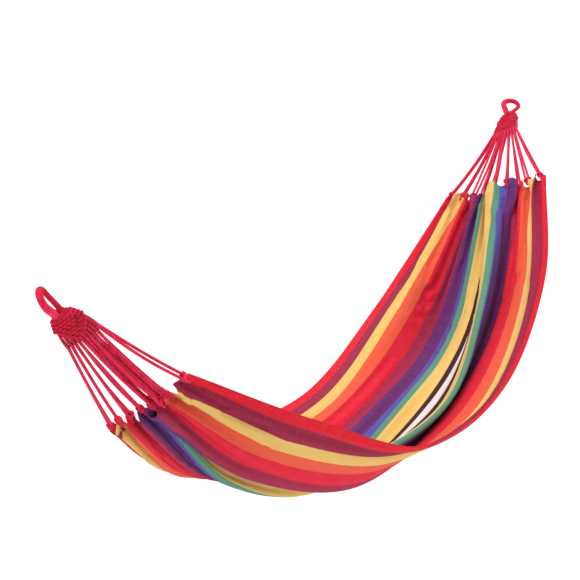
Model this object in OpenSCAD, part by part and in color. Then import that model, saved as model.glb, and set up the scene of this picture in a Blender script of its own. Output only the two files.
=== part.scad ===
// Striped cloth hammock hung by two rope clews.
// Millimetres. The origin is the left hanging point, +X runs to the right one and +Z is up.
// The near edge of the cloth is at -Y and the far edge at +Y.

/* [Hanging] */
// Distance between the two hanging points
span = 2300; // [2280:5:2320]
// Straight distance from a hanging point to the cloth's end
reach = 395; // [385:5:405]

/* [Cloth] */
// Length of the cloth along its stripes
cloth_len = 2000; // [1980:10:2020]
// Thickness of the cloth solid
cloth_t = 3; // [2:0.5:4]
// Distance of the side seams from the cloth's edges
seam_inset = 14; // [10:1:20]
// Depth of the end hems
hem_depth = 45; // [35:1:60]

/* [Cords] */
// Diameter of one suspension cord
cord_d = 7; // [5:0.5:7.5]
// Diameter of the sewing thread
thread_d = 1.6; // [1.2:0.1:2]

/* [Eyes] */
// Inner radius of the eye
eye_hole_r = 14.5; // [12:0.5:18]
// Diameter of the served rope round the eye
served_d = 15; // [13:0.5:17]
// Diameter of the rope core inside the serving
core_d = 9; // [7:0.5:11]
// Distance from the hanging point to the neck
neck_z = 50; // [48:1:56]

/* [Collars] */
// Width of the woven collar at the neck
collar_w0 = 40; // [36:1:46]
// Width of the woven collar where the cords leave it
collar_w1 = 80; // [76:1:84]
// Length of the woven collar
collar_len = 70; // [66:1:74]
// Thickness of the collar's packed cords
collar_t = 14; // [13:0.5:16]
// Rows of weft cord on the collar
weft_rows = 8; // [5:1:8]

/* [Hidden] */
EPS = 0.01;
// Flat width of the cloth, which the sections' points are drawn for.
cloth_w = 800;
RING_FN = 28;
SIDES = 6;
eye_r = eye_hole_r + served_d / 2;
neck_gap = served_d / 2 + 0.1;
whip_d = 4;
whip_gap = 0.2;
whip_turns = 3;
collar_z = neck_z + whip_turns * (whip_d + whip_gap) + 2;
cord_z = collar_z + collar_len;
weft_d = 5.5;
weft_slack = 0.9;
split_r = neck_z - 7;
split_gap = 0.5;
joint_gap = 0.05;
cord_pitch = 8;
leg_gap = 0.2;
bridge_r = cord_d / 3;
hem_gap = 0.6;

// Clew directions: dip below level, heading in plan, and the turns of the cords' fan and of the eye.
LEFT_CLEW = frame([0, 0, 0], 46.5, 0, -41);
LEFT_EYE = frame([0, 0, 0], 46.5, 0, 60);
RIGHT_CLEW = frame([span, 0, 0], 28.5, 189.5, 16);
RIGHT_EYE = frame([span, 0, 0], 28.5, 189.5, -20);

// Where the sections' points lie across the cloth, from the far edge (0) to the near edge (1).
ACROSS = [0, 0.15, 0.30, 0.40, 0.46, 0.50, 0.565, 0.62, 0.685, 0.745, 0.875, 1];
// Cloth ends, folded into a soft S, as points in the plane of each clew's fan.
LEFT_HEM = [
    [100, -5], [75, -10], [40, -10], [5, 5], [-15, 15], [-25, 15],
    [-15, 5], [0, 0], [10, -15], [-15, -15], [-45, -10], [-95, 0]];
RIGHT_HEM = [
    [-150, 5], [-100, 0], [-60, -10], [-40, -20], [-20, -35], [-5, -25],
    [-5, 10], [30, 10], [65, -5], [70, -30], [105, -25], [145, -35]];
// Sections between the ends, as points [y, z]: a far trough, a soft ridge and a near trough.
SECTIONS = [
    [[230, -500], [160, -535], [85, -550], [50, -560], [40, -540], [30, -520],
     [15, -495], [0, -505], [10, -550], [-15, -540], [-105, -495], [-170, -440]],
    [[320, -580], [210, -620], [105, -665], [50, -710], [15, -700], [-5, -680],
     [-35, -650], [-60, -650], [-40, -705], [-75, -695], [-165, -640], [-250, -610]],
    [[290, -600], [175, -600], [80, -630], [10, -640], [-30, -650], [-65, -650],
     [-110, -630], [-130, -625], [-90, -670], [-120, -650], [-220, -630], [-290, -580]],
    [[265, -480], [150, -460], [80, -530], [10, -530], [-35, -520], [-55, -510],
     [-80, -470], [-110, -450], [-100, -510], [-130, -495], [-220, -445], [-290, -385]]];
SPANS = len(SECTIONS) + 1;
// Share of a stretch's length that runs straight, the rest being its curve.
STRAIGHT = 0.97;
ACROSS_N = 30;
ALONG_N = 30;

PAIR_NAMES = ["01", "02", "03", "04", "05", "06", "07", "08", "09", "10"];
last_pair = len(PAIR_NAMES) - 1;
// Where the doubled cords hold the cloth's ends, and the place in the collar that each one leaves.
LEFT_HOLDS = [0.025, 0.14, 0.25, 0.34, 0.42, 0.52, 0.65, 0.75, 0.83, 0.975];
LEFT_PLACES = [9, 8, 7, 6, 4, 2, 5, 3, 1, 0];
RIGHT_HOLDS = [0.025, 0.14, 0.25, 0.35, 0.45, 0.55, 0.65, 0.75, 0.86, 0.975];
RIGHT_PLACES = [0, 1, 2, 3, 4, 5, 6, 7, 8, 9];

CRIMSON = "#d41f4c";
DEEP_CRIMSON = "#b01840";

// ---- Frames ----

// A frame is [origin, x across the fan, y out of the fan, z towards the cloth].
function frame(origin, dip, heading, turn) =
    let (z = [cos(dip) * cos(heading), cos(dip) * sin(heading), -sin(dip)],
         level = [-sin(heading), cos(heading), 0],
         up = cross(z, level))
    [origin, level * cos(turn) + up * sin(turn), up * cos(turn) - level * sin(turn), z];

function in_frame(f, p) = f[0] + f[1] * p[0] + f[2] * p[1] + f[3] * p[2];

module place(f) {
    multmatrix([for (row = [0:2]) [f[1][row], f[2][row], f[3][row], f[0][row]]]) children();
}

// ---- Curves ----

function unit(v) = v / norm(v);

function point_at(p, i) =
    i < 0 ? 2 * p[0] - p[1] :
    i >= len(p) ? 2 * p[len(p) - 1] - p[len(p) - 2] : p[i];

// Point at t along a smooth curve that passes p[0], p[1], ... at t = 0, 1, ...
function spline(p, t) =
    let (i = max(0, min(len(p) - 2, floor(t))), s = t - i,
         a = point_at(p, i - 1), b = p[i], c = p[i + 1], d = point_at(p, i + 2))
    (2 * b + (c - a) * s + (2 * a - 5 * b + 4 * c - d) * s * s + (3 * b - a - 3 * c + d) * s * s * s) / 2;

// ---- Cloth surface ----

function hem_point(f, p) = in_frame(f, [p[0], p[1], sqrt(reach * reach - p[0] * p[0] - p[1] * p[1])]);

// Lengthwise runs between the sections at one guide, scaled to reach from hem to hem.
function runs(yz) =
    [for (i = [0:SPANS - 1])
        let (step = yz[i + 1] - yz[i])
        sqrt(STRAIGHT * pow(cloth_len / SPANS, 2) - step * step)];

function total(list, n) = n == 0 ? 0 : list[n - 1] + total(list, n - 1);

function guide(g) =
    let (left = hem_point(LEFT_CLEW, LEFT_HEM[g]), right = hem_point(RIGHT_CLEW, RIGHT_HEM[g]),
         yz = concat([[left[1], left[2]]], [for (s = SECTIONS) s[g]], [[right[1], right[2]]]),
         run = runs(yz), scale_x = (right[0] - left[0]) / total(run, SPANS))
    concat([left], [for (i = [1:SPANS - 1]) [left[0] + scale_x * total(run, i), yz[i][0], yz[i][1]]], [right]);

GUIDES = [for (g = [0:len(ACROSS) - 1]) guide(g)];
GUIDE_INDEX = [for (g = [0:len(ACROSS) - 1]) [ACROSS[g], g]];

// Points across the cloth at v along it, at each u in us.
function across_row(us, v) =
    let (row = [for (g = GUIDES) spline(g, v * SPANS)])
    [for (u = us) spline(row, lookup(u, GUIDE_INDEX))];

seam_u = seam_inset / cloth_w;
hem_v = hem_depth / cloth_len;
US = concat([0, seam_u], [for (i = [1:ACROSS_N - 1]) i / ACROSS_N], [1 - seam_u, 1]);
VS = concat([0, hem_v], [for (j = [2:ALONG_N - 2]) j / ALONG_N], [1 - hem_v, 1]);
GRID = [for (v = VS) across_row(US, v)];

function clamped(i, n) = max(0, min(n - 1, i));

// Upward normal of the cloth at grid place (j, i).
function normal_at(j, i) =
    let (nj = len(VS), ni = len(US),
         along = GRID[clamped(j + 1, nj)][i] - GRID[clamped(j - 1, nj)][i],
         over = GRID[j][clamped(i + 1, ni)] - GRID[j][clamped(i - 1, ni)])
    unit(cross(along, over));

// One closed skin round a sheet: its top, its underside and its rim.
module sheet(thickness) {
    nj = len(VS);
    ni = len(US);
    top = [for (j = [0:nj - 1]) for (i = [0:ni - 1]) GRID[j][i] + normal_at(j, i) * thickness / 2];
    under = [for (j = [0:nj - 1]) for (i = [0:ni - 1]) GRID[j][i] - normal_at(j, i) * thickness / 2];
    base = nj * ni;
    faces = concat(
        [for (j = [0:nj - 2]) for (i = [0:ni - 2]) each skin_faces(j * ni + i, ni, 0)],
        [for (j = [0:nj - 2]) for (i = [0:ni - 2]) each skin_faces(j * ni + i, ni, base)],
        [for (i = [0:ni - 2]) each rim_faces(i, i + 1, base)],
        [for (i = [0:ni - 2]) each rim_faces((nj - 1) * ni + i + 1, (nj - 1) * ni + i, base)],
        [for (j = [0:nj - 2]) each rim_faces((j + 1) * ni, j * ni, base)],
        [for (j = [0:nj - 2]) each rim_faces(j * ni + ni - 1, (j + 1) * ni + ni - 1, base)]);
    polyhedron(concat(top, under), faces, convexity = 10);
}

// Two triangles of the top (base 0) or of the underside, which faces the other way.
function skin_faces(k, ni, base) =
    base == 0 ? [[k, k + 1, k + ni + 1], [k, k + ni + 1, k + ni]]
              : [[base + k, base + k + ni + 1, base + k + 1], [base + k, base + k + ni, base + k + ni + 1]];

function rim_faces(a, b, base) = [[a, base + a, base + b], [a, base + b, b]];

// A thread along path, with one normal per point.
module thread(path, normals) {
    n = len(path);
    rings = [for (k = [0:n - 1])
        let (tangent = unit(path[min(n - 1, k + 1)] - path[max(0, k - 1)]), side = unit(cross(tangent, normals[k])))
        for (q = [0:SIDES - 1])
            path[k] + (normals[k] * cos(q * 360 / SIDES) + side * sin(q * 360 / SIDES)) * thread_d / 2];
    faces = concat(
        [for (k = [0:n - 2]) for (q = [0:SIDES - 1])
            let (a = k * SIDES + q, b = k * SIDES + (q + 1) % SIDES)
            each [[a, b, b + SIDES], [a, b + SIDES, a + SIDES]]],
        [[for (q = [SIDES - 1:-1:0]) q]],
        [[for (q = [0:SIDES - 1]) (n - 1) * SIDES + q]]);
    polyhedron(rings, faces, convexity = 4);
}

// ---- Cloth and its seams ----

module bed_cloth() {
    color("#c8385a") sheet(cloth_t);
}

// Seam along the cloth, at column i of the grid, half sunk in its upper face.
module side_seam(i) {
    nj = len(VS);
    normals = [for (j = [0:nj - 1]) normal_at(j, i)];
    color("#e8203c") thread([for (j = [0:nj - 1]) GRID[j][i] + normals[j] * cloth_t / 2], normals);
}

// Seam across the cloth, at row j of the grid.
module hem_seam(j) {
    ni = len(US);
    normals = [for (i = [0:ni - 1]) normal_at(j, i)];
    color("#e8203c") thread([for (i = [0:ni - 1]) GRID[j][i] + normals[i] * cloth_t / 2], normals);
}

module far_side_seam() side_seam(1);
module near_side_seam() side_seam(len(US) - 2);
module left_hem_seam() hem_seam(1);
module right_hem_seam() hem_seam(len(VS) - 2);

// ---- Eye, neck and whipping ----

// Rope between radii r_in and r_out round the eye and down its two legs, which end inside split_r.
// A hairline parts each straight leg from the bend.
module loop_rope(r_out, r_in) {
    lean = atan2(neck_z, neck_gap) - acos(eye_r / norm([neck_gap, neck_z]));
    leg = sqrt(split_r * split_r - pow(eye_r + served_d / 2, 2));
    rotate([90, 0, 0]) rotate([0, 0, 180 - lean])
        rotate_extrude(angle = 180 + 2 * lean, $fn = 64) translate([eye_r, 0]) ring(r_out, r_in);
    for (side = [-1, 1])
        translate([side * eye_r * cos(lean), 0, eye_r * sin(lean)]) rotate([0, -side * lean, 0])
            translate([0, 0, joint_gap]) linear_extrude(height = leg - joint_gap) ring(r_out, r_in);
}

module ring(r_out, r_in) {
    difference() {
        circle(r = r_out, $fn = RING_FN);
        if (r_in > 0) circle(r = r_in, $fn = RING_FN);
    }
}

// A round rod from a to b.
module rod(a, b, r) {
    v = b - a;
    translate(a) rotate([0, acos(v[2] / norm(v)), atan2(v[1], v[0])])
        cylinder(h = norm(v), r = r, $fn = RING_FN);
}

// A closed oval turn of cord round two centres at x = +-half_gap, its centre line at distance r.
module oval_turn(half_gap, r, d) {
    for (side = [0, 180])
        rotate([0, 0, side]) translate([half_gap, 0, 0]) rotate([0, 0, -90])
            rotate_extrude(angle = 180, $fn = 48) translate([r, 0]) circle(d = d, $fn = RING_FN);
    for (y = [-r, r])
        rod([-half_gap, y, 0], [half_gap, y, 0], d / 2);
}

module eye_core(f) {
    color(DEEP_CRIMSON) place(f) loop_rope(core_d / 2, 0);
}

module eye_serving(f) {
    color(CRIMSON) place(f) loop_rope(served_d / 2, core_d / 2 + 0.1);
}

// The two legs of the eye's rope side by side, from just outside split_r to the collar.
module neck_core(f) {
    low = split_r + split_gap;
    color(DEEP_CRIMSON) place(f)
        for (side = [-1, 1])
            translate([side * neck_gap, 0, low]) cylinder(h = collar_z - low - EPS, r = served_d / 2, $fn = RING_FN);
}

module throat_whipping(f) {
    turn_r = served_d / 2 + 0.1 + whip_d / 2;
    color(CRIMSON) place(f)
        for (turn = [0:whip_turns - 1])
            translate([0, 0, neck_z + (turn + 0.5) * (whip_d + whip_gap)]) oval_turn(neck_gap, turn_r, whip_d);
}

// ---- Woven collar ----

module collar_slab(width, z) {
    translate([0, 0, z]) hull()
        for (side = [-1, 1])
            translate([side * (width - collar_t) / 2, 0, 0]) cylinder(h = EPS, d = collar_t, $fn = 32);
}

module collar_warp(f) {
    color(DEEP_CRIMSON) place(f) hull() {
        collar_slab(collar_w0, collar_z);
        collar_slab(collar_w1, cord_z - EPS);
    }
}

module collar_weft(f) {
    pitch = collar_len / weft_rows;
    color(CRIMSON) place(f)
        for (row = [0:weft_rows - 1]) {
            z = (row + 0.5) * pitch;
            width = collar_w0 + (collar_w1 - collar_w0) * (z + weft_d / 2) / collar_len;
            translate([0, 0, collar_z + z])
                oval_turn((width - collar_t) / 2, (collar_t + weft_d) / 2 + weft_slack, weft_d);
        }
}

// ---- Suspension cords ----

// One doubled cord: out from the collar in its upper layer, through the hem and back in its lower layer.
// Each leg starts far enough off the collar for its slanted end to clear it.
module doubled_cord(f, hold, collar_place) {
    x = (collar_place - last_pair / 2) * cord_pitch;
    to_hem = unit(hold - f[0]);
    knee = hold - to_hem * (cord_d / 2 + cloth_t / 2 + hem_gap);
    over = unit(cross(to_hem, f[1]));
    half = cord_d / 2 + leg_gap / 2;
    color(CRIMSON) {
        for (layer = [-half, half]) {
            foot = in_frame(f, [x, layer, cord_z]);
            end = knee + over * layer;
            lift = leg_gap + norm(cross(unit(end - foot), f[3])) * cord_d / 2;
            rod(foot + f[3] * lift, end, cord_d / 2);
        }
        bridge = knee - to_hem * cord_d / 2;
        rod(bridge - over * half, bridge + over * half, bridge_r);
    }
}

// ---- The hammock ----

bed_cloth();
near_side_seam();
far_side_seam();
left_hem_seam();
right_hem_seam();
eye_core(LEFT_EYE);  // left_eye_core
eye_serving(LEFT_EYE);  // left_eye_serving
neck_core(LEFT_EYE);  // left_neck_core
throat_whipping(LEFT_EYE);  // left_throat_whipping
collar_warp(LEFT_CLEW);  // left_collar_warp
collar_weft(LEFT_CLEW);  // left_collar_weft
eye_core(RIGHT_EYE);  // right_eye_core
eye_serving(RIGHT_EYE);  // right_eye_serving
neck_core(RIGHT_EYE);  // right_neck_core
throat_whipping(RIGHT_EYE);  // right_throat_whipping
collar_warp(RIGHT_CLEW);  // right_collar_warp
collar_weft(RIGHT_CLEW);  // right_collar_weft
for (i = [0:last_pair]) {
    doubled_cord(LEFT_CLEW, across_row([LEFT_HOLDS[i]], 0)[0], LEFT_PLACES[i]);
    doubled_cord(RIGHT_CLEW, across_row([RIGHT_HOLDS[i]], 1)[0], RIGHT_PLACES[i]);
}
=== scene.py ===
"""Striped cloth hammock on two rope clews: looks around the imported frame.

Metres, in the frame of the CAD model: the left hanging point is the origin and +X runs to the right one.
"""
import math

import bpy
import numpy as np
from mathutils import Matrix, Vector


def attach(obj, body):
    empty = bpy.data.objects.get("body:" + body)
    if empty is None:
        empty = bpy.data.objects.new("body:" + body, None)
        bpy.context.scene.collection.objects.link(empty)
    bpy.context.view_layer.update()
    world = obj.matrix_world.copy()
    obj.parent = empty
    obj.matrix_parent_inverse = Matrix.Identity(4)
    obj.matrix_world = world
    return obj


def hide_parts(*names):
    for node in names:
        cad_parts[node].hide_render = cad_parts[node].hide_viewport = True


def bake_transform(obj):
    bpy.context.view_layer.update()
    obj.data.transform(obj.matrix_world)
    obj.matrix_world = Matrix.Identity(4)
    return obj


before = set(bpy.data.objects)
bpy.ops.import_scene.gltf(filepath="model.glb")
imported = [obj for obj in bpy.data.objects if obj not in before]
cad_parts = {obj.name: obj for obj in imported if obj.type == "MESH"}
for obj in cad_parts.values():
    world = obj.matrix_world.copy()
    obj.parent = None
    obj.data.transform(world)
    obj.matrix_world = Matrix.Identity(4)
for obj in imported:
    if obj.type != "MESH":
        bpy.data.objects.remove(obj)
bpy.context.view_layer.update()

# ---- Sizes, in metres, as in the CAD model ----
SPAN = 2.300
REACH = 0.395
CLOTH_W = 0.800
CLOTH_L = 2.000
CLOTH_T = 0.0014
HEM_DEPTH = 0.045
SEAM_INSET = 0.014
CORD_R = 0.0035
EYE_R = 0.022
SERVED_R = 0.0075
NECK_Z = 0.050
NECK_GAP = 0.0076
CORD_Z = 0.1346
CORD_PITCH = 0.008
HOLE_INSET = 0.012

rng = np.random.default_rng(7)


# ---- Camera ----
CAMERA_PLACE = (-2.409, -1.976, 0.570)
CAMERA_YAW, CAMERA_PITCH, CAMERA_ROLL = 58.93, 11.42, -8.97
CAMERA_LENS = 105.3


def add_camera():
    yaw, pitch, roll = (math.radians(a) for a in (CAMERA_YAW, CAMERA_PITCH, CAMERA_ROLL))
    look = Vector((math.sin(yaw) * math.cos(pitch), math.cos(yaw) * math.cos(pitch), -math.sin(pitch)))
    level = Vector((math.cos(yaw), -math.sin(yaw), 0))
    up = level.cross(look)
    right = level * math.cos(roll) + up * math.sin(roll)
    top = up * math.cos(roll) - level * math.sin(roll)
    data = bpy.data.cameras.new("camera")
    data.sensor_width = 36.0
    data.lens = CAMERA_LENS
    data.clip_end = 1000.0
    cam = bpy.data.objects.new("camera", data)
    bpy.context.collection.objects.link(cam)
    basis = Matrix((right, top, -look)).transposed().to_4x4()
    cam.matrix_world = Matrix.Translation(CAMERA_PLACE) @ basis
    bpy.context.scene.camera = cam


add_camera()


# ---- Frames and curves ----
def clew_frame(origin, dip, heading, turn):
    """(origin, x across the fan, y out of the fan, z towards the cloth)."""
    d, h, t = (math.radians(a) for a in (dip, heading, turn))
    z = np.array([math.cos(d) * math.cos(h), math.cos(d) * math.sin(h), -math.sin(d)])
    level = np.array([-math.sin(h), math.cos(h), 0.0])
    up = np.cross(z, level)
    return (np.array(origin, float), level * math.cos(t) + up * math.sin(t),
            up * math.cos(t) - level * math.sin(t), z)


def in_frame(f, p):
    """Points of the clew's frame f in the model's."""
    p = np.asarray(p, float)
    return f[0] + p[..., 0:1] * f[1] + p[..., 1:2] * f[2] + p[..., 2:3] * f[3]


LEFT_CLEW = clew_frame((0, 0, 0), 46.5, 0, -41)
LEFT_EYE = clew_frame((0, 0, 0), 46.5, 0, 60)
RIGHT_CLEW = clew_frame((SPAN, 0, 0), 28.5, 189.5, 16)
RIGHT_EYE = clew_frame((SPAN, 0, 0), 28.5, 189.5, -20)

# The cloth's net: guides at these shares of the width from the far edge, crossed by sections at even steps.
ACROSS = np.array([0, 0.15, 0.30, 0.40, 0.46, 0.50, 0.565, 0.62, 0.685, 0.745, 0.875, 1])
# Each hem's guide ends as the clew sees them, in mm: across its fan, and out of it.
LEFT_HEM = [[100, -5], [75, -10], [40, -10], [5, 5], [-15, 15], [-25, 15],
            [-15, 5], [0, 0], [10, -15], [-15, -15], [-45, -10], [-95, 0]]
RIGHT_HEM = [[-150, 5], [-100, 0], [-60, -10], [-40, -20], [-20, -35], [-5, -25],
             [-5, 10], [30, 10], [65, -5], [70, -30], [105, -25], [145, -35]]
# The sections between the hems, from left to right, as (y, z) in mm.
SECTIONS = [
    [[230, -500], [160, -535], [85, -550], [50, -560], [40, -540], [30, -520],
     [15, -495], [0, -505], [10, -550], [-15, -540], [-105, -495], [-170, -440]],
    [[320, -580], [210, -620], [105, -665], [50, -710], [15, -700], [-5, -680],
     [-35, -650], [-60, -650], [-40, -705], [-75, -695], [-165, -640], [-250, -610]],
    [[290, -600], [175, -600], [80, -630], [10, -640], [-30, -650], [-65, -650],
     [-110, -630], [-130, -625], [-90, -670], [-120, -650], [-220, -630], [-290, -580]],
    [[265, -480], [150, -460], [80, -530], [10, -530], [-35, -520], [-55, -510],
     [-80, -470], [-110, -450], [-100, -510], [-130, -495], [-220, -445], [-290, -385]]]
SPANS = len(SECTIONS) + 1
# A section's straight step to the next, squared, as a share of the curved cloth's.
STRAIGHT = 0.97
# Where the cords' holes are, as shares of the width, and each cord's place in the collar.
LEFT_HOLDS = [0.025, 0.14, 0.25, 0.34, 0.42, 0.52, 0.65, 0.75, 0.83, 0.975]
LEFT_PLACES = [9, 8, 7, 6, 4, 2, 5, 3, 1, 0]
RIGHT_HOLDS = [0.025, 0.14, 0.25, 0.35, 0.45, 0.55, 0.65, 0.75, 0.86, 0.975]
RIGHT_PLACES = list(range(10))


def spline(points, t):
    """Smooth curve through points[0], points[1], ... at t = 0, 1, ..."""
    n = len(points)
    p = np.concatenate([[2 * points[0] - points[1]], points, [2 * points[-1] - points[-2]]])
    i = np.clip(np.floor(t).astype(int), 0, n - 2)
    s = (t - i).reshape((-1,) + (1,) * (points.ndim - 1))
    a, b, c, d = p[i], p[i + 1], p[i + 2], p[i + 3]
    cubic = (2 * a - 5 * b + 4 * c - d) * s**2 + (3 * b - a - 3 * c + d) * s**3
    return 0.5 * (2 * b + (c - a) * s + cubic)


def hem_points(f, plane):
    """Ends of the guides on a hem, all at the same reach from the hanging point."""
    plane = np.array(plane) / 1000.0
    z = np.sqrt(REACH**2 - (plane**2).sum(1))
    return in_frame(f, np.column_stack([plane, z]))


def cloth_net():
    """Guides across, sections along: the net that the cloth is drawn over."""
    left, right = hem_points(LEFT_CLEW, LEFT_HEM), hem_points(RIGHT_CLEW, RIGHT_HEM)
    net = np.zeros((SPANS + 1, len(ACROSS), 3))
    net[0], net[-1] = left, right
    net[1:-1, :, 1:] = np.array(SECTIONS) / 1000.0
    step = np.diff(net[:, :, 1:], axis=0)
    run = np.sqrt(STRAIGHT * (CLOTH_L / SPANS)**2 - (step**2).sum(2))
    run *= (right[:, 0] - left[:, 0]) / run.sum(0)
    net[1:-1, :, 0] = left[:, 0] + np.cumsum(run, axis=0)[:-1]
    return net


NET = cloth_net()


def cloth_points(us, vs):
    """The net's smooth surface at each (u, v)."""
    along = spline(NET, np.asarray(vs) * SPANS)
    places = np.interp(us, ACROSS, np.arange(len(ACROSS)))
    return spline(np.swapaxes(along, 0, 1), places)


# ---- Mesh helpers ----
# A direction that no path here starts along.
ANY_WAY = np.array([0.31, 0.17, 0.93])


def new_object(name, verts, faces, smooth=True):
    mesh = bpy.data.meshes.new(name)
    mesh.from_pydata(np.asarray(verts).tolist(), [], faces)
    mesh.validate()
    mesh.update()
    if smooth:
        mesh.polygons.foreach_set("use_smooth", [True] * len(mesh.polygons))
    obj = bpy.data.objects.new(name, mesh)
    bpy.context.collection.objects.link(obj)
    return obj


def set_vectors(obj, name, values):
    attribute = obj.data.attributes.new(name, "FLOAT_VECTOR", "POINT")
    attribute.data.foreach_set("vector", np.asarray(values, np.float32).ravel())


def unit(v):
    return v / (np.linalg.norm(v, axis=-1, keepdims=True) + 1e-12)


def resample(path, step):
    """The path's own line at an even step."""
    path = np.asarray(path, float)
    s = np.concatenate([[0], np.cumsum(np.linalg.norm(np.diff(path, axis=0), axis=1))])
    n = max(3, int(round(s[-1] / step)) + 1)
    want = np.linspace(0, s[-1], n)
    return np.column_stack([np.interp(want, s, path[:, k]) for k in range(3)]), want


def smooth_path(points, step):
    """A smooth curve through the points, at an even step."""
    points = np.asarray(points, float)
    return resample(spline(points, np.linspace(0, len(points) - 1, 24 * len(points))), step)


def path_frames(path, closed):
    """Two normals at each point, carried along the path without twist."""
    if closed:
        tangent = unit(np.roll(path, -1, 0) - np.roll(path, 1, 0))
    else:
        tangent = unit(np.gradient(path, axis=0))
    normal = np.zeros_like(path)
    normal[0] = unit(ANY_WAY - tangent[0] * (ANY_WAY @ tangent[0]))
    for k in range(1, len(path)):
        n = normal[k - 1] - tangent[k] * (normal[k - 1] @ tangent[k])
        normal[k] = n / np.linalg.norm(n)
    return normal, np.cross(tangent, normal)


def tube(path, s, radius, sides, closed=False):
    """Verts, faces and (length along, angle, height) of a tube. radius is a function of (s, angle)."""
    normal, side = path_frames(path, closed)
    angle = np.arange(sides) * 2 * math.pi / sides
    r = radius(s[:, None], angle[None, :]) * np.ones((len(path), sides))
    verts = (path[:, None, :] + r[..., None] * (np.cos(angle)[None, :, None] * normal[:, None, :]
             + np.sin(angle)[None, :, None] * side[:, None, :])).reshape(-1, 3)
    top = r.max()
    data = np.stack([s[:, None] * np.ones(sides), angle[None, :] * np.ones((len(path), 1)), r / top], -1)
    rings = len(path)
    last = rings if closed else rings - 1
    faces = []
    for k in range(last):
        a, b = k * sides, ((k + 1) % rings) * sides
        faces += [(a + q, a + (q + 1) % sides, b + (q + 1) % sides, b + q) for q in range(sides)]
    if not closed:
        faces.append(tuple(range(sides - 1, -1, -1)))
        faces.append(tuple((rings - 1) * sides + q for q in range(sides)))
    return verts, faces, data.reshape(-1, 3)


def join(parts):
    """One mesh's verts, faces and data from several tubes."""
    verts, faces, data, base = [], [], [], 0
    for v, f, d in parts:
        verts.append(v)
        data.append(d)
        faces += [tuple(i + base for i in face) for face in f]
        base += len(v)
    return np.concatenate(verts), faces, np.concatenate(data)


def tube_object(name, parts, material, body="hammock"):
    """One piece from several tubes. It rides on body, unless that is None."""
    verts, faces, data = join(parts)
    obj = new_object(name, verts, faces)
    set_vectors(obj, "lay", data)
    obj.data.materials.append(material)
    if body:
        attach(obj, body)
    return obj


def rope_radius(r, pitch, phase=0.0, strands=3, depth=0.20):
    """Round rope of twisted strands."""
    def radius(s, angle):
        turn = angle - 2 * math.pi * s / pitch + phase
        return r * (1 - depth + depth * np.abs(np.cos(strands * turn / 2)))
    return radius


# ---- Materials ----
SPECULAR, SHEEN_ROUGHNESS, BUMP_STRENGTH = 0.10, 0.5, 0.8


def srgb(r, g, b):
    def linear(c):
        c /= 255.0
        return c / 12.92 if c <= 0.04045 else ((c + 0.055) / 1.055) ** 2.4
    return (linear(r), linear(g), linear(b), 1.0)


class Nodes:
    """Short names for building a material's nodes."""

    def __init__(self, name, roughness, sheen):
        self.material = bpy.data.materials.new(name)
        self.material.use_nodes = True
        self.tree = self.material.node_tree
        self.shader = self.tree.nodes["Principled BSDF"]
        self.shader.inputs["Roughness"].default_value = roughness
        self.shader.inputs["Specular IOR Level"].default_value = SPECULAR
        self.shader.inputs["Sheen Weight"].default_value = sheen
        self.shader.inputs["Sheen Roughness"].default_value = SHEEN_ROUGHNESS

    def add(self, kind, inputs=None, **settings):
        node = self.tree.nodes.new(kind)
        for key, value in settings.items():
            setattr(node, key, value)
        for key, value in (inputs or {}).items():
            socket = node.inputs[key]
            if isinstance(value, bpy.types.NodeSocket):
                self.tree.links.new(value, socket)
            else:
                socket.default_value = value
        return node

    def math(self, operation, a, b=0.0):
        return self.add("ShaderNodeMath", {0: a, 1: b}, operation=operation).outputs[0]

    def mix(self, factor, a, b, blend="MIX"):
        node = self.add("ShaderNodeMix", data_type="RGBA", blend_type=blend)
        for key, value in ((0, factor), (6, a), (7, b)):
            if isinstance(value, bpy.types.NodeSocket):
                self.tree.links.new(value, node.inputs[key])
            else:
                node.inputs[key].default_value = value
        return node.outputs[2]

    def noise(self, vector, scale, detail=3.0, roughness=0.5):
        inputs = {"Vector": vector, "Scale": scale, "Detail": detail, "Roughness": roughness}
        return self.add("ShaderNodeTexNoise", inputs).outputs["Fac"]

    def scaled(self, vector, scale):
        return self.add("ShaderNodeMapping", {"Vector": vector, "Scale": scale}).outputs[0]

    def ramp(self, factor, low, high, a=0.0, b=1.0):
        """factor from low to high becomes a to b."""
        inputs = {"Value": factor, 1: low, 2: high, 3: a, 4: b}
        return self.add("ShaderNodeMapRange", inputs).outputs[0]

    def finish(self, colour, height, distance, rough=None):
        """The material, with its colour, bumps of the given depth, and roughness if that varies."""
        self.tree.links.new(colour, self.shader.inputs["Base Color"])
        bump = self.add("ShaderNodeBump", {"Height": height, "Distance": distance, "Strength": BUMP_STRENGTH})
        self.tree.links.new(bump.outputs[0], self.shader.inputs["Normal"])
        if rough is not None:
            self.tree.links.new(rough, self.shader.inputs["Roughness"])
        return self.material


FADED = srgb(250, 110, 140)


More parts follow.
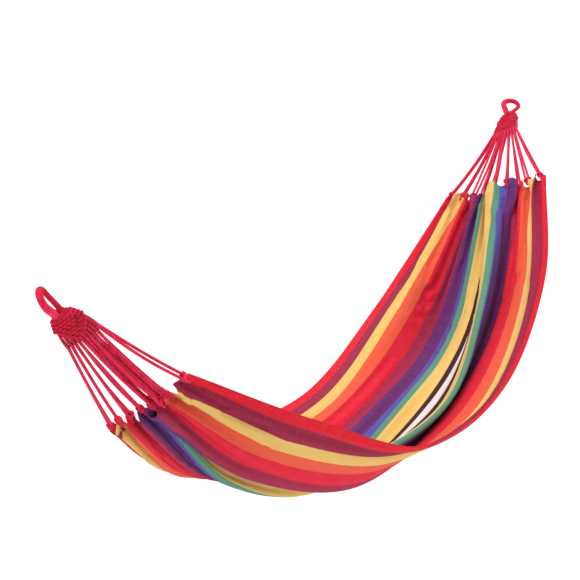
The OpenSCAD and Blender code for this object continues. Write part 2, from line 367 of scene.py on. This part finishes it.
def cord_material(name, light, dark):
    """Cotton cord: fibres along the lay, painted shade between strands, slightly faded on top."""
    n = Nodes(name, 0.85, 0.12)
    lay = n.add("ShaderNodeAttribute", attribute_name="lay").outputs["Vector"]
    height = n.add("ShaderNodeSeparateXYZ", {0: lay}).outputs[2]
    where = n.add("ShaderNodeTexCoord").outputs["Object"]
    patches = n.noise(where, 60.0, 4.0)
    fuzz = n.noise(where, 900.0, 2.0)
    fibres = n.noise(n.scaled(where, (500.0, 500.0, 2200.0)), 1.0, 2.0)
    colour = n.mix(n.ramp(patches, 0.3, 0.7), dark, light)
    colour = n.mix(n.ramp(fibres, 0.35, 0.75, 0.0, 0.35), colour, light)
    # Painted shade: where the tube is thinner than its widest (between the strands, and along its narrower
    # stretches), the colour is multiplied by the dark tone.
    groove = n.ramp(height, 0.82, 0.97)
    colour = n.mix(groove, n.mix(0.55, colour, dark, "MULTIPLY"), colour)
    colour = n.mix(n.ramp(fuzz, 0.55, 0.8, 0.0, 0.15), colour, FADED)
    bump = n.math("ADD", n.math("MULTIPLY", fibres, 0.6), n.math("MULTIPLY", fuzz, 0.4))
    return n.finish(colour, bump, 0.0006, n.ramp(patches, 0.2, 0.8, 0.78, 0.92))


# Flat widths of the stripes from the far edge to the middle, in mm; the near half repeats them backwards.
STRIPE_WIDTHS = [45, 55, 50, 45, 62, 47, 45, 42, 24, 50, 18, 46]
RED = srgb(232, 18, 46)
MAROON = srgb(164, 34, 72)
YELLOW = srgb(238, 197, 110)
ORANGE = srgb(240, 94, 66)
BRIGHT_RED = srgb(232, 26, 56)
CRIMSON = srgb(174, 38, 78)
PURPLE = srgb(108, 44, 114)
BLUE = srgb(96, 86, 174)
GREEN = srgb(90, 152, 126)
BROWN = srgb(60, 26, 38)
WHITE = srgb(238, 224, 222)
YARN_SHADE, WEFT_LIGHT, SLUB_LIGHT = (0.02, 0.0, 0.01, 1.0), (1.0, 0.75, 0.6, 1.0), (1.0, 0.70, 0.55, 1.0)
THREAD_PITCH = 0.0011
STRIPE_RAGGEDNESS = 0.0022
STRIPE_COLOURS = [RED, MAROON, YELLOW, ORANGE, BRIGHT_RED, CRIMSON, PURPLE, BLUE, GREEN, YELLOW, BROWN, WHITE]


def cloth_material():
    """Striped plain-weave cotton. The flat attribute holds the place on the flat cloth in metres."""
    n = Nodes("striped_canvas", 0.9, 0.03)
    flat = n.add("ShaderNodeAttribute", attribute_name="flat").outputs["Vector"]
    x, y, _ = n.add("ShaderNodeSeparateXYZ", {0: flat}).outputs
    yarn = n.noise(n.scaled(flat, (1100.0, 45.0, 1.0)), 1.0, 3.0)
    weft = n.noise(n.scaled(flat, (40.0, 900.0, 1.0)), 1.0, 3.0)
    slub = n.noise(n.scaled(flat, (26.0, 260.0, 1.0)), 1.0, 4.0, 0.65)
    patches = n.noise(n.scaled(flat, (9.0, 4.0, 1.0)), 1.0, 4.0)
    ragged = n.math("ADD", x, n.math("MULTIPLY", n.math("SUBTRACT", weft, 0.5), STRIPE_RAGGEDNESS))
    ramp_node = n.add("ShaderNodeValToRGB", {0: n.math("DIVIDE", ragged, CLOTH_W)})
    widths = STRIPE_WIDTHS + STRIPE_WIDTHS[-2::-1]
    colours = STRIPE_COLOURS + STRIPE_COLOURS[-2::-1]
    ramp_node.color_ramp.interpolation = "CONSTANT"
    stops = ramp_node.color_ramp.elements
    stops.remove(stops[1])
    edge = 0.0
    for k, (width, colour) in enumerate(zip(widths, colours)):
        stop = stops[0] if k == 0 else stops.new(edge / sum(widths))
        stop.color = colour
        edge += width
    base = ramp_node.outputs["Color"]
    colour = n.mix(n.ramp(yarn, 0.3, 0.7, 0.0, 0.16), base, YARN_SHADE)
    colour = n.mix(n.ramp(weft, 0.45, 0.8, 0.0, 0.05), colour, WEFT_LIGHT)
    colour = n.mix(n.ramp(slub, 0.52, 0.75, 0.0, 0.06), colour, SLUB_LIGHT)
    colour = n.mix(n.ramp(patches, 0.35, 0.7, 0.0, 0.14), colour, n.mix(1.0, colour, base, "MULTIPLY"))
    thread = 2 * math.pi / THREAD_PITCH
    warp_wave = n.math("SINE", n.math("MULTIPLY", x, thread))
    weft_wave = n.math("SINE", n.math("MULTIPLY", y, thread))
    weave = n.math("MULTIPLY", warp_wave, weft_wave)
    uneven = n.math("ADD", slub, n.math("MULTIPLY", weft, 0.5))
    height = n.math("ADD", n.math("MULTIPLY", weave, 0.35), uneven)
    return n.finish(colour, height, 0.0007, n.ramp(slub, 0.3, 0.7, 0.82, 0.93))


CORD_LIGHT, CORD_DARK = srgb(238, 38, 86), srgb(186, 16, 52)
cord_fabric = cord_material("twisted_cord", CORD_LIGHT, CORD_DARK)
collar_fabric = cord_material("collar_cord", srgb(228, 30, 72), srgb(168, 12, 44))
serving_fabric = cord_material("served_cord", CORD_LIGHT, srgb(190, 16, 52))
canvas = cloth_material()


# ---- Cloth ----
# Grid points across and along, and passes of relaxing.
NU, NV = 141, 301
PASSES = 120
# How far a point may move from the net's own surface: along the cloth, and more at its gathered ends.
FOLD_MID, FOLD_END, FOLD_FADE = 0.005, 0.007, 0.12
# The side edges keep this share of that freedom, which comes back over SELVAGE_FADE.
SELVAGE_SHARE, SELVAGE_FADE = 0.08, 0.05
# Seeds of folds: height in the middle, more at the ends, and the share of the length where that fades.
SEED_MID, SEED_END, SEED_FADE = 0.0005, 0.0030, 0.06
# Waves across the cloth in each set of folds, and the set's share of the height.
SEED_WAVES = ((10, 1.0), (17, 0.5), (27, 0.35))
# How the cloth resists: axis, grid steps spanned, and the shares of a stretch and of a squeeze
# that one pass takes back.
RESISTS = ((1, 1, 0.9, 0.3), (0, 1, 0.9, 0.75), (0, 3, 0.0, 0.30), (0, 6, 0.0, 0.10), (1, 4, 0.0, 0.35))
# How far a slow drift of the whole surface is looked for, in grid points, and the share undone in a pass.
DRIFT_REACH, DRIFT_BACK = 9, 0.25
# Extra thickness of the folded hems and side edges, as shares of the single cloth's.
HEM_EXTRA, EDGE_EXTRA = 1.1, 0.8
EDGE_FOLD = SEAM_INSET + 0.004


def blur(field, passes, reach_u, reach_v):
    """Running mean over a window of the grid, edges held."""
    for _ in range(passes):
        for axis, reach in ((0, reach_u), (1, reach_v)):
            padded = np.concatenate([np.repeat(np.take(field, [0], axis), reach, axis), field,
                                     np.repeat(np.take(field, [-1], axis), reach, axis)], axis)
            total = np.cumsum(padded, axis)
            lead = np.take(total, range(2 * reach, total.shape[axis]), axis)
            lag = np.concatenate([np.zeros_like(np.take(total, [0], axis)),
                                  np.take(total, range(0, total.shape[axis] - 2 * reach - 1), axis)], axis)
            field = (lead - lag) / (2 * reach + 1)
    return field


def pull(x, axis, hop, rest, stretch, squeeze, parity):
    """One pass of distance constraints between grid points hop apart along axis."""
    n = x.shape[axis]
    blocks = range(parity * hop, n - hop, 2 * hop)
    start = np.concatenate([np.arange(b, min(b + hop, n - hop)) for b in blocks])
    a, b = np.take(x, start, axis), np.take(x, start + hop, axis)
    d = b - a
    length = np.linalg.norm(d, axis=-1, keepdims=True) + 1e-12
    error = (length - rest) / length
    move = d * np.where(error > 0, error * stretch, error * squeeze) * 0.5
    index = [slice(None)] * 3
    index[axis] = start
    x[tuple(index)] += move
    index[axis] = start + hop
    x[tuple(index)] -= move


def relax_cloth(x, from_side, from_end):
    """Lets the gathered cloth take up its spare width in folds, while its broad shape stays put."""
    home = x.copy()
    rest = (CLOTH_W / (NU - 1), CLOTH_L / (NV - 1))
    left = [int(round(u * (NU - 1))) for u in LEFT_HOLDS]
    right = [int(round(u * (NU - 1))) for u in RIGHT_HOLDS]
    hold = int(round(HOLE_INSET / rest[1]))
    cap = FOLD_MID + FOLD_END * np.exp(-(from_end / FOLD_FADE) ** 2)
    cap = (cap * np.clip(from_side / SELVAGE_FADE, SELVAGE_SHARE, 1.0))[..., None]
    for _ in range(PASSES):
        for parity in (0, 1):
            for axis, hop, stretch, squeeze in RESISTS:
                pull(x, axis, hop, hop * rest[axis], stretch, squeeze, parity)
        x -= DRIFT_BACK * blur(x - home, 2, DRIFT_REACH, DRIFT_REACH)
        away = x - home
        far = np.linalg.norm(away, axis=-1, keepdims=True)
        x = home + away * np.minimum(1.0, cap / (far + 1e-9))
        x[left, :hold + 1] = home[left, :hold + 1]
        x[right, -hold - 1:] = home[right, -hold - 1:]
    return x


def grid_normals(x):
    over = np.gradient(x, axis=0)
    along = np.gradient(x, axis=1)
    return unit(np.cross(along, over))


def fold_seeds(us, vs):
    """Soft waves that run along the cloth and grow towards its gathered ends."""
    seed = np.zeros((NU, NV))
    for waves, share in SEED_WAVES:
        drift = rng.uniform(-1, 1, 3)
        phase = 2 * math.pi * (waves * us[:, None] + drift[0] + 0.6 * drift[1] * vs[None, :])
        seed += share * np.sin(phase + 1.5 * drift[2] * np.sin(3 * vs[None, :]))
    seed *= (SEED_MID + SEED_END * np.exp(-np.minimum(vs, 1 - vs) / SEED_FADE))[None, :]
    seed *= np.clip(np.minimum(us, 1 - us) * CLOTH_W / SELVAGE_FADE, 0, 1)[:, None]
    return seed[..., None]


def sheet_faces():
    """Faces of a closed sheet: the grid's upper points first, then its under points, and the rim between."""
    base = NU * NV
    faces = []
    for i in range(NU - 1):
        for j in range(NV - 1):
            k = i * NV + j
            faces.append((k, k + 1, k + NV + 1, k + NV))
            faces.append((base + k, base + k + NV, base + k + NV + 1, base + k + 1))
    rim = [(i * NV, (i + 1) * NV) for i in range(NU - 1)]
    rim += [((NU - 1) * NV + j, (NU - 1) * NV + j + 1) for j in range(NV - 1)]
    rim += [((i + 1) * NV + NV - 1, i * NV + NV - 1) for i in range(NU - 1)]
    rim += [(j + 1, j) for j in range(NV - 1)]
    return faces + [(a, b, base + b, base + a) for a, b in rim]


def build_cloth():
    """The sheet, and its middle surface, normals and half thickness for what is sewn or tied to it."""
    us, vs = np.linspace(0, 1, NU), np.linspace(0, 1, NV)
    from_side = np.minimum(us, 1 - us)[:, None] * CLOTH_W
    from_end = np.minimum(vs, 1 - vs)[None, :] * CLOTH_L
    x = cloth_points(us, vs)
    x = x + fold_seeds(us, vs) * grid_normals(x)
    x = relax_cloth(x, from_side, from_end)
    n = unit(blur(grid_normals(x), 1, 1, 1))
    layers = 1 + HEM_EXTRA * (from_end < HEM_DEPTH) + EDGE_EXTRA * (from_side < EDGE_FOLD)
    half = CLOTH_T / 2 * layers
    top, under = x + n * half[..., None], x - n * half[..., None]
    verts = np.concatenate([top.reshape(-1, 3), under.reshape(-1, 3)])
    cloth = new_object("striped_cloth", verts, sheet_faces())
    flat = np.stack(np.broadcast_arrays(us[:, None] * CLOTH_W, vs[None, :] * CLOTH_L, 0.0), -1)
    set_vectors(cloth, "flat", np.concatenate([flat, flat]))
    cloth.data.materials.append(canvas)
    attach(cloth, "hammock")
    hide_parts("bed_cloth")
    return cloth, x, n, half


cloth, CLOTH_X, CLOTH_N, CLOTH_HALF = build_cloth()


def on_cloth(u, v):
    """Point, normal and half thickness of the finished cloth at (u, v)."""
    i, j = u * (NU - 1), v * (NV - 1)
    i0, j0 = min(int(i), NU - 2), min(int(j), NV - 2)
    fi, fj = i - i0, j - j0

    def blend(grid):
        low = grid[i0, j0] * (1 - fi) + grid[i0 + 1, j0] * fi
        high = grid[i0, j0 + 1] * (1 - fi) + grid[i0 + 1, j0 + 1] * fi
        return low * (1 - fj) + high * fj
    return blend(CLOTH_X), unit(blend(CLOTH_N)), blend(CLOTH_HALF)


# ---- Stitches ----
# Spacing of the stitches, and how far the hem's row lies inside its fold.
SIDE_STITCH, HEM_STITCH, HEM_ROW_INSET = 0.006, 0.005, 0.002
STITCH_R = 0.00055
# Where along its spacing a stitch starts, peaks and ends, and how far it stands off the cloth there.
STITCH_PLACES = (0.15, 0.5, 0.85)
STITCH_LIFTS = (-0.0002, 0.0004, -0.0002)
STITCH_RINGS = 5


def stitch_section(s, angle):
    """A plain round thread."""
    return STITCH_R


def stitches(name, route, spacing, node):
    """A row of raised stitches along route, a list of (u, v), on both faces of the cloth."""
    parts, flat = [], []
    route = np.array(route)
    scale = np.array([CLOTH_W, CLOTH_L])
    s = np.concatenate([[0], np.cumsum(np.linalg.norm(np.diff(route * scale, axis=0), axis=1))])
    along = np.linspace(0, (STITCH_PLACES[-1] - STITCH_PLACES[0]) * spacing, STITCH_RINGS)
    for k in range(int(s[-1] / spacing)):
        places = []
        for e in STITCH_PLACES:
            uv = [np.interp((k + e) * spacing, s, route[:, c]) for c in range(2)]
            places.append(on_cloth(*uv))
        for face in (1, -1):
            line = np.array([p + face * n * (h + lift) for (p, n, h), lift in zip(places, STITCH_LIFTS)])
            line = spline(line, np.linspace(0, 2, STITCH_RINGS))
            parts.append(tube(line, along, stitch_section, 5))
            flat.append(np.tile([*(np.array(uv) * scale), 0.0], (len(parts[-1][0]), 1)))
    obj = tube_object(name, parts, canvas)
    set_vectors(obj, "flat", np.concatenate(flat))
    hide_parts(node)
    return obj


def seams():
    """The rows along both side edges and both hems."""
    side_u = SEAM_INSET / CLOTH_W
    hem_v = (HEM_DEPTH - HEM_ROW_INSET) / CLOTH_L
    us, vs = np.linspace(0.004, 0.996, 200), np.linspace(0.002, 0.998, 300)
    return [stitches("far_side_stitches", [(side_u, v) for v in vs], SIDE_STITCH, "far_side_seam"),
            stitches("near_side_stitches", [(1 - side_u, v) for v in vs], SIDE_STITCH, "near_side_seam"),
            stitches("left_hem_stitches", [(u, hem_v) for u in us], HEM_STITCH, "left_hem_seam"),
            stitches("right_hem_stitches", [(u, 1 - hem_v) for u in us], HEM_STITCH, "right_hem_seam")]


seams()


# ---- Suspension cords ----
COLUMNS = 10
MIDDLE = (COLUMNS - 1) / 2
CORD_LAY, CORD_STEP = 0.021, 0.0018
CORD_SAG = 0.006
SIDE_BOW = 0.002
LEG_LAYER = 0.0037
LEG_START_Z = CORD_Z - 0.003
# Free space between a cord's legs and the hem that they pass through.
HEM_GAP = 0.0002
# A hitch: its cord, its half width, how far from the hole its turns lie, and their slant either way.
HITCH_R, HITCH_LAY = 0.0029, 0.016
HITCH_OUT, HITCH_HALF = 0.0040, 0.0056
HITCH_PLACES, HITCH_SLANTS = (0.0165, 0.0213), (0.0012, -0.0012)
HITCH_MEAN_R = 0.007


def collar_end(f, place, layer):
    """Where a leg of the cord in this place of the collar comes out of it."""
    return in_frame(f, [(place - MIDDLE) * CORD_PITCH, layer, LEG_START_Z])


def at_hole(f, u, v, place):
    """A hole in the hem: its place, the cloth's normal, the way to the collar, and the legs' half gap."""
    hole, normal, half = on_cloth(u, v)
    toward = unit(collar_end(f, place, 0) - hole)
    normal = unit(normal - toward * (normal @ toward))
    if normal @ f[2] < 0:
        normal = -normal
    return hole, normal, toward, half + CORD_R + HEM_GAP


def cord_route(f, u, v, place):
    """Out from the collar, round through the hole in the hem and back to the collar's other face."""
    hole, normal, toward, clear = at_hole(f, u, v, place)
    centre = hole + toward * clear
    side_bow = f[2] * rng.uniform(-SIDE_BOW, SIDE_BOW) + f[1] * rng.uniform(-SIDE_BOW, SIDE_BOW)
    t = np.linspace(0, 1, 40)[:, None]
    legs = []
    for face in (1, -1):
        start = collar_end(f, place, face * LEG_LAYER)
        end = centre + normal * face * clear
        bow = face * side_bow + np.array([0, 0, -CORD_SAG])
        legs.append(start + (end - start) * t + bow * np.sin(math.pi * t))
    a = np.linspace(0, math.pi, 15)[1:-1, None]
    turn = centre + clear * (normal * np.cos(a) - toward * np.sin(a))
    return np.concatenate([legs[0], turn, legs[1][::-1]])


def hitch(f, u, v, place):
    """Two turns of cord round both legs of a doubled cord, hard against the hem."""
    hole, out, toward, clear = at_hole(f, u, v, place)
    across = np.cross(out, toward)
    t = np.linspace(0, 2 * math.pi, 48, endpoint=False)
    turns = []
    for k, (from_hole, slant) in enumerate(zip(HITCH_PLACES, HITCH_SLANTS)):
        ring = (hole + toward * from_hole + np.outer(np.cos(t) * (clear + HITCH_OUT), out)
                + np.outer(np.sin(t) * HITCH_HALF, across) + np.outer(np.sin(t + k) * slant, toward))
        turns.append(tube(ring, t * HITCH_MEAN_R, rope_radius(HITCH_R, HITCH_LAY, k), 12, closed=True))
    return turns


def suspension_cords(side, f, holds, places, v_hole):
    """Ten doubled cords, each a piece, and the hitches that draw them against the hem as one piece."""
    turns = [turn for u, place in zip(holds, places) for turn in hitch(f, u, v_hole, place)]
    tube_object(f"{side}_hem_hitches", turns, cord_fabric)
    for k, (u, place) in enumerate(zip(holds, places)):
        path, s = resample(cord_route(f, u, v_hole, place), CORD_STEP)
        phase = rng.uniform(0, 2 * math.pi)
        part = tube(path, s, rope_radius(CORD_R, CORD_LAY, phase), 18)
        cord = tube_object(f"{side}_suspension_{k + 1:02d}", [part], cord_fabric)
        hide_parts(f"{side}_cord_{k + 1:02d}")


suspension_cords("left", LEFT_CLEW, LEFT_HOLDS, LEFT_PLACES, HOLE_INSET / CLOTH_L)
suspension_cords("right", RIGHT_CLEW, RIGHT_HOLDS, RIGHT_PLACES, 1 - HOLE_INSET / CLOTH_L)


# ---- Collars: cords packed side by side, with a cord interlaced across them ----
# Outermost column on each side that each row still takes in, so the weave ends in a blunt point.
ROW_STARTS = [0, 0, 0, 0, 1, 1, 2, 3]
ROW_PITCH = 0.0078
LAYER = 0.0042
TOP_Z = NECK_Z - 0.001
FIRST_ROW = 0.006
ROWS = TOP_Z + FIRST_ROW + ROW_PITCH * np.arange(len(ROW_STARTS))
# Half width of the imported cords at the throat, and how squarely the collar shoulders out from it.
THROAT_HALF, SHOULDER = 0.0135, 0.8
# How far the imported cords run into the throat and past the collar's end.
RUN_IN, RUN_OUT, PACKED_STEP = 0.004, 0.002, 0.0012
# Their size at the throat, half way and at the end, and how flat the throat squeezes the two layers.
PACKED_SIZES = [0.72, 0.86, 1.0]
SQUEEZE, SQUEEZE_OVER = 0.35, 0.012
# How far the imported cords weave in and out, and where that fades below their last row.
WARP_WAVE, WARP_FADE_START, WARP_FADE = 0.0016, 0.012, 0.010
WEFT_R, WEFT_LAY = 0.0034, 0.018
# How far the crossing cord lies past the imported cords' layer: on average, in waves, and at the sides.
WEFT_OUT, WEFT_WAVE, WEFT_SIDE = 0.0012, 0.0030, 0.0022
# Round the sides it reaches out this share of an arc's radius. Lower rows droop by more, up to ROW_DROOP.
SIDE_FLAT, SIDE_ROOM, ROW_DROOP = 0.9, 0.006, 0.009


def collar_half(z):
    """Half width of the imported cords' centre lines at z."""
    t = np.clip((z - TOP_Z) / (CORD_Z - TOP_Z), 0, 1)
    return THROAT_HALF + (MIDDLE * CORD_PITCH - THROAT_HALF) * np.sin(t * math.pi / 2) ** SHOULDER


def tapered(size, shape):
    """A rope's section whose size follows the path's own points."""
    return lambda s, angle: size * shape(s, angle)


def packed_cord(f, column, face):
    """One leg of a cord inside the collar, thinner towards the throat, where all of them are squeezed."""
    z = np.linspace(TOP_Z - RUN_IN, CORD_Z + RUN_OUT, 90)
    x = (column - MIDDLE) / MIDDLE * collar_half(z)
    wave = np.cos(math.pi * ((z - ROWS[0]) / ROW_PITCH + column))
    woven = [row for row, start in zip(ROWS, ROW_STARTS) if start <= column <= COLUMNS - 1 - start]
    fade = np.clip((woven[-1] + WARP_FADE_START - z) / WARP_FADE, 0, 1)
    y = face * (LAYER * (0.75 + 0.25 * fade) + WARP_WAVE * wave * fade)
    y *= np.clip((z - TOP_Z + RUN_IN) / SQUEEZE_OVER, SQUEEZE, 1)
    path, s = resample(in_frame(f, np.column_stack([x, y, z])), PACKED_STEP)
    size = CORD_R * np.interp(s / s[-1], [0, 0.5, 1], PACKED_SIZES)[:, None]
    phase = rng.uniform(0, 6)
    return tube(path, s, tapered(size, rope_radius(1.0, CORD_LAY, phase)), 12)


def crossing_place(d, row, half):
    """(x, y) at distance d round a row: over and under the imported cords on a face, then round the side."""
    run = 2 * half + math.pi * LAYER
    face = 1 if d < run else -1
    d = d % run
    if d < 2 * half:
        x = -half + d
        column = x / float(collar_half(ROWS[row])) * MIDDLE + MIDDLE
        wave = -math.cos(math.pi * (row + column))
        return face * x, face * (LAYER + WEFT_OUT + WEFT_WAVE * wave)
    a = (d - 2 * half) / LAYER
    return face * (half + (LAYER + WEFT_SIDE) * math.sin(a) * SIDE_FLAT), face * LAYER * math.cos(a)


def crossing_row(f, row):
    """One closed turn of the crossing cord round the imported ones. Lower rows droop in the middle."""
    half = float(collar_half(ROWS[row])) * (MIDDLE - ROW_STARTS[row]) / MIDDLE
    s = np.linspace(0, 1, 160, endpoint=False) * 2 * (2 * half + math.pi * LAYER)
    x, y = np.array([crossing_place(d, row, half) for d in s]).T
    droop = ROW_DROOP * (1 - (x / (half + SIDE_ROOM)) ** 2) * (row / len(ROWS))
    path = in_frame(f, np.column_stack([x, y, ROWS[row] + droop]))
    return tube(path, s, rope_radius(WEFT_R, WEFT_LAY, row), 12, closed=True)


def woven_collar(side, f):
    """Twenty packed legs of cord, and the cord that crosses over and under them."""
    warp = [packed_cord(f, column, face) for column in range(COLUMNS) for face in (1, -1)]
    warp_obj = tube_object(f"{side}_collar_cords", warp, collar_fabric)
    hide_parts(f"{side}_collar_warp")
    weft = [crossing_row(f, row) for row in range(len(ROWS))]
    weft_obj = tube_object(f"{side}_collar_weave", weft, collar_fabric)
    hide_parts(f"{side}_collar_weft")


woven_collar("left", LEFT_CLEW)
woven_collar("right", RIGHT_CLEW)


# ---- Eyes: a rope loop served with close turns of cord, and the binding at its throat ----
SERVING_PITCH, SERVING_GROOVE, EYE_STEP = 0.0030, 0.10, 0.00055
# The serving's relative radius at two shares of its length, and at two distances from its ends.
FULL_AT, FULL_SIZES = [0.30, 0.70], [1.10, 0.78]
NECK_AT, NECK_SIZES = [0.006, 0.026], [0.62, 1.0]
# Centre line of one leg below the loop, as (across, out, down).
EYE_LEG = [(0.0074, 0, 0.040), (0.0058, 0, 0.048), (0.0048, 0, 0.056), (0.0044, 0, 0.064)]
# Where the legs start to turn into the collar's plane, and over what depth.
TURN_FROM, TURN_OVER = 0.018, 0.032
THROAT_R, THROAT_LAY, THROAT_PITCH = 0.0022, 0.014, 0.0042
THROAT_TOP = NECK_Z - 0.007
THROAT_WIDE, THROAT_WIDER, THROAT_DEEP = 0.0125, 0.0012, 0.0080
THROAT_MEAN_R = 0.012


def eye_route(f, clew):
    """Round the eye and down both legs, which turn from the eye's plane into the collar's."""
    lean = math.atan2(NECK_Z, NECK_GAP) - math.acos(EYE_R / math.hypot(NECK_GAP, NECK_Z))
    arc = np.linspace(math.pi - lean, 2 * math.pi + lean, 25)
    points = [(-x, y, z) for x, y, z in reversed(EYE_LEG)]
    points += [(EYE_R * math.cos(a), 0, EYE_R * math.sin(a)) for a in arc]
    points += EYE_LEG
    points = np.array(points)
    turn = math.atan2(clew[1] @ f[2], clew[1] @ f[1])
    if abs(turn) > math.pi / 2:
        turn -= math.copysign(math.pi, turn)
    share = np.clip((points[:, 2] - TURN_FROM) / TURN_OVER, 0, 1)
    a = turn * share * share * (3 - 2 * share)
    x, y = points[:, 0] * np.cos(a), points[:, 0] * np.sin(a)
    return in_frame(f, np.column_stack([x, y, points[:, 2]]))


def serving_radius(length):
    """Fuller on one leg, where the serving starts, and thin where both legs enter the collar."""
    def radius(s, angle):
        turn = 2 * math.pi * s / SERVING_PITCH - angle
        full = np.interp(s / length, FULL_AT, FULL_SIZES)
        neck = np.interp(np.minimum(s, length - s), NECK_AT, NECK_SIZES)
        ridge = np.sqrt(np.abs(np.sin(turn / 2)) + 1e-6)
        return SERVED_R * full * neck * (1 - SERVING_GROOVE + SERVING_GROOVE * ridge)
    return radius


def served_eye(side, f, clew):
    """The eye stays on its hook."""
    path, s = smooth_path(eye_route(f, clew), EYE_STEP)
    part = tube(path, s, serving_radius(s[-1]), 28)
    eye = tube_object(f"{side}_served_eye", [part], serving_fabric, body=None)
    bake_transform(eye)
    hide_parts(f"{side}_eye_serving", f"{side}_eye_core", f"{side}_neck_core")


def throat_turns(side, clew):
    """Three turns of binding round both legs, each wider than the one above."""
    turns = []
    t = np.linspace(0, 2 * math.pi, 90, endpoint=False)
    for k in range(3):
        x = (THROAT_WIDE + THROAT_WIDER * k) * np.cos(t)
        y = THROAT_DEEP * np.sin(t)
        z = np.full_like(t, THROAT_TOP + THROAT_PITCH * k)
        ring = in_frame(clew, np.column_stack([x, y, z]))
        turns.append(tube(ring, t * THROAT_MEAN_R, rope_radius(THROAT_R, THROAT_LAY, k), 12, closed=True))
    whipping = tube_object(f"{side}_throat_turns", turns, collar_fabric)
    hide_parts(f"{side}_throat_whipping")


for side, eye_frame, clew in (("left", LEFT_EYE, LEFT_CLEW), ("right", RIGHT_EYE, RIGHT_CLEW)):
    served_eye(side, eye_frame, clew)
    throat_turns(side, clew)


# ---- Studio ----
FLOOR_REACH, FLOOR_Z = 400.0, -2.2
SURROUND_STRENGTH = 0.78
SUN_STRENGTH, SUN_SPREAD, SUN_WAY = 2.3, 50, (0.35, 0.10, -1.0)


def plain_material(name, colour, roughness):
    n = Nodes(name, roughness, 0.0)
    where = n.add("ShaderNodeTexCoord").outputs["Object"]
    grain = n.noise(where, 3.0, 2.0)
    pale = n.mix(n.ramp(grain, 0.3, 0.7, 0.0, 0.03), colour, (0.8, 0.8, 0.8, 1.0))
    return n.finish(pale, grain, 0.0001)


def add_floor():
    corners = [(x * FLOOR_REACH, y * FLOOR_REACH, FLOOR_Z) for x, y in ((-1, -1), (1, -1), (1, 1), (-1, 1))]
    floor = new_object("floor", corners, [(0, 1, 2, 3)], smooth=False)
    floor.data.materials.append(plain_material("pale_floor", (0.86, 0.86, 0.87, 1.0), 0.9))


def add_lights():
    """An even white surround and one broad soft light from above, as in a light tent."""
    world = bpy.data.worlds.new("studio")
    bpy.context.scene.world = world
    world.use_nodes = True
    background = world.node_tree.nodes["Background"]
    background.inputs["Color"].default_value = (1.0, 1.0, 1.0, 1.0)
    background.inputs["Strength"].default_value = SURROUND_STRENGTH
    data = bpy.data.lights.new("soft_top", "SUN")
    data.energy = SUN_STRENGTH
    data.angle = math.radians(SUN_SPREAD)
    sun = bpy.data.objects.new("soft_top", data)
    bpy.context.collection.objects.link(sun)
    sun.rotation_euler = Vector(SUN_WAY).to_track_quat("-Z", "Y").to_euler()


bpy.context.scene.view_settings.view_transform = "Standard"
add_floor()
add_lights()
